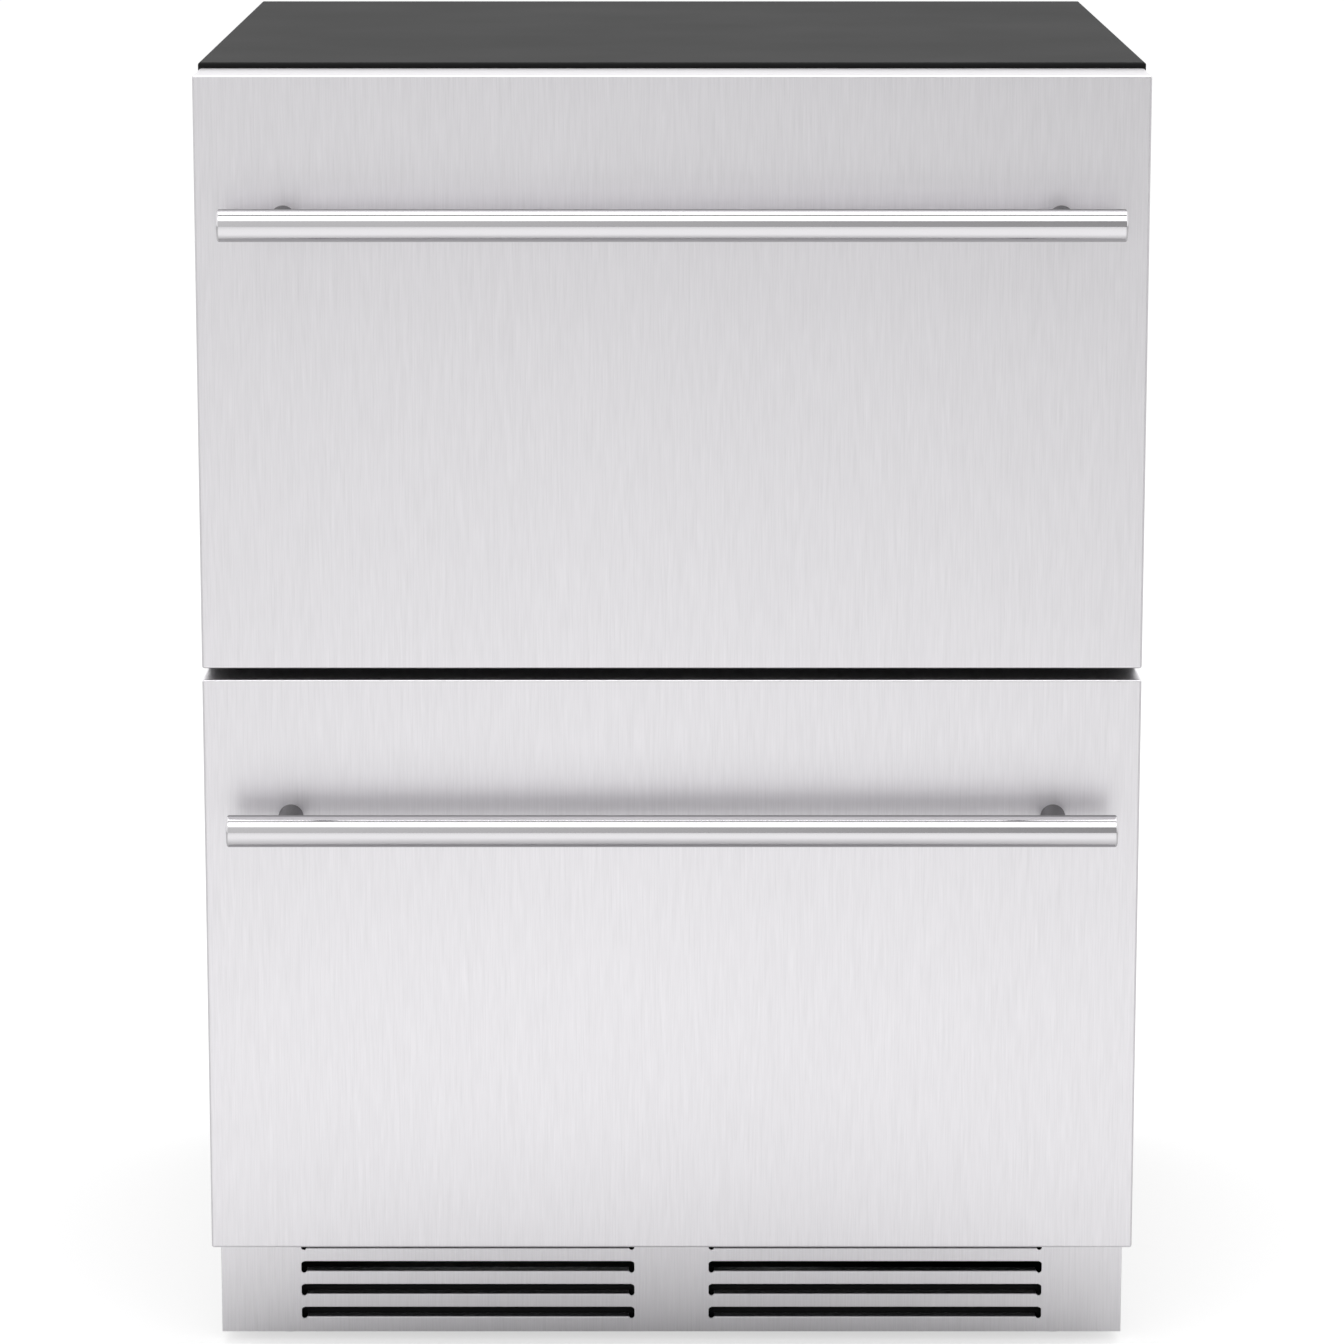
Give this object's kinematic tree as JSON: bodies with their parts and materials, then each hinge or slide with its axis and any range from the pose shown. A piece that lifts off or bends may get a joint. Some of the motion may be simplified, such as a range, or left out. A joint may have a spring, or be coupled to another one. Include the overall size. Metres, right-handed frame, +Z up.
{
  "type": "undercounter drawer refrigerator",
  "caption": "Undercounter refrigerator with stainless drawer fronts, round bar handles, telescopic slides, a black cabinet and a louvred toe kick.",
  "frame": {"origin": "on the floor, at the centre of the whole object's width and depth, handles included", "axes": "+X to the right as seen from in front, -Y towards the drawer fronts, +Z up"},
  "size_m": [0.606, 0.6553, 0.864],
  "materials": {
    "black_sheet": "satin",
    "zinc_sheet": "satin",
    "screws": "satin",
    "foam": "matte",
    "liner": "satin",
    "mullion": "satin",
    "brushed_stainless": "satin",
    "spring_steel": "satin",
    "dark_plastic": "satin",
    "light_cover": "gloss",
    "slide_steel": "satin",
    "compressor_paint": "satin",
    "rubber": "matte",
    "fins": "satin",
    "motor_metal": "satin",
    "copper": "satin",
    "pale_plastic": "satin",
    "bin_plastic": "satin",
    "polished_stainless": "satin",
    "leg_steel": "satin"
  },
  "bodies": {
    "cabinet": {"top_panel": "black_sheet", "left_side_panel": "black_sheet", "right_side_panel": "black_sheet", "back_panel": "zinc_sheet", "machine_cover": "zinc_sheet", "rear_screws": "screws", "base_pan": "black_sheet", "step_plate": "zinc_sheet", "foam_insulation": "foam", "cabinet_liner": "liner", "mullion": "mullion", "bottom_rail": "black_sheet", "toe_kick_grille": "brushed_stainless", "toe_kick_clips": "spring_steel", "air_baffle": "dark_plastic", "control_panel": "dark_plastic", "upper_light": "light_cover", "lower_light": "light_cover", "upper_outer_rails": "slide_steel", "lower_outer_rails": "slide_steel", "compressor": "compressor_paint", "compressor_grommets": "rubber", "condenser_coil": "fins", "fan_shroud": "dark_plastic", "condenser_fan_motor": "motor_metal", "drip_tray": "dark_plastic", "drain_tube": "pale_plastic", "refrigerant_lines": "copper", "filter_drier": "copper", "control_box": "pale_plastic", "cord_gland": "rubber", "evaporator": "fins", "evaporator_cover": "pale_plastic", "evaporator_fan_motor": "motor_metal"},
    "upper_drawer": {"upper_front_skin": "brushed_stainless", "upper_front_core": "pale_plastic", "upper_gasket": "rubber", "upper_handle_bar": "polished_stainless", "upper_handle_posts": "polished_stainless", "upper_front_screws": "screws", "upper_drawer_frame": "slide_steel", "upper_bin": "bin_plastic", "upper_inner_rails": "slide_steel"},
    "lower_drawer": {"lower_front_skin": "brushed_stainless", "lower_front_core": "pale_plastic", "lower_gasket": "rubber", "lower_handle_bar": "polished_stainless", "lower_handle_posts": "polished_stainless", "lower_front_screws": "screws", "lower_drawer_frame": "slide_steel", "lower_bin": "bin_plastic", "lower_inner_rails": "slide_steel"},
    "upper_slide_middle": {"upper_mid_rails": "slide_steel"},
    "lower_slide_middle": {"lower_mid_rails": "slide_steel"},
    "condenser_fan": {"condenser_fan": "dark_plastic"},
    "evaporator_fan": {"evaporator_fan": "pale_plastic"},
    "front_left_leg": {"front_left_leg": "leg_steel"},
    "front_right_leg": {"front_right_leg": "leg_steel"},
    "rear_left_leg": {"rear_left_leg": "leg_steel"},
    "rear_right_leg": {"rear_right_leg": "leg_steel"}
  },
  "joints": [
    {"name": "upper_drawer_slide", "type": "slide", "parent": "cabinet", "child": "upper_drawer", "axis": [0, -1, 0], "range_m": [0, 0.43]},
    {"name": "upper_middle_slide", "type": "slide", "parent": "cabinet", "child": "upper_slide_middle", "axis": [0, -1, 0], "range_m": [0, 0.215]},
    {"name": "lower_drawer_slide", "type": "slide", "parent": "cabinet", "child": "lower_drawer", "axis": [0, -1, 0], "range_m": [0, 0.43]},
    {"name": "lower_middle_slide", "type": "slide", "parent": "cabinet", "child": "lower_slide_middle", "axis": [0, -1, 0], "range_m": [0, 0.215]},
    {"name": "condenser_fan_spin", "type": "hinge", "parent": "cabinet", "child": "condenser_fan", "pos_m": [0.025, 0.21805, 0.143], "axis": [1, 0, 0], "continuous": true},
    {"name": "evaporator_fan_spin", "type": "hinge", "parent": "cabinet", "child": "evaporator_fan", "pos_m": [0.15, 0.24605, 0.62185], "axis": [0, 1, 0], "continuous": true},
    {"name": "front_left_leg_screw", "type": "slide", "parent": "cabinet", "child": "front_left_leg", "axis": [0, 0, -1], "range_m": [0, 0.025]},
    {"name": "front_right_leg_screw", "type": "slide", "parent": "cabinet", "child": "front_right_leg", "axis": [0, 0, -1], "range_m": [0, 0.025]},
    {"name": "rear_left_leg_screw", "type": "slide", "parent": "cabinet", "child": "rear_left_leg", "axis": [0, 0, -1], "range_m": [0, 0.025]},
    {"name": "rear_right_leg_screw", "type": "slide", "parent": "cabinet", "child": "rear_right_leg", "axis": [0, 0, -1], "range_m": [0, 0.025]}
  ],
  "couplings": [
    {"joint": "upper_middle_slide", "follows": "upper_drawer_slide", "ratio": 0.5},
    {"joint": "lower_middle_slide", "follows": "lower_drawer_slide", "ratio": 0.5}
  ]
}
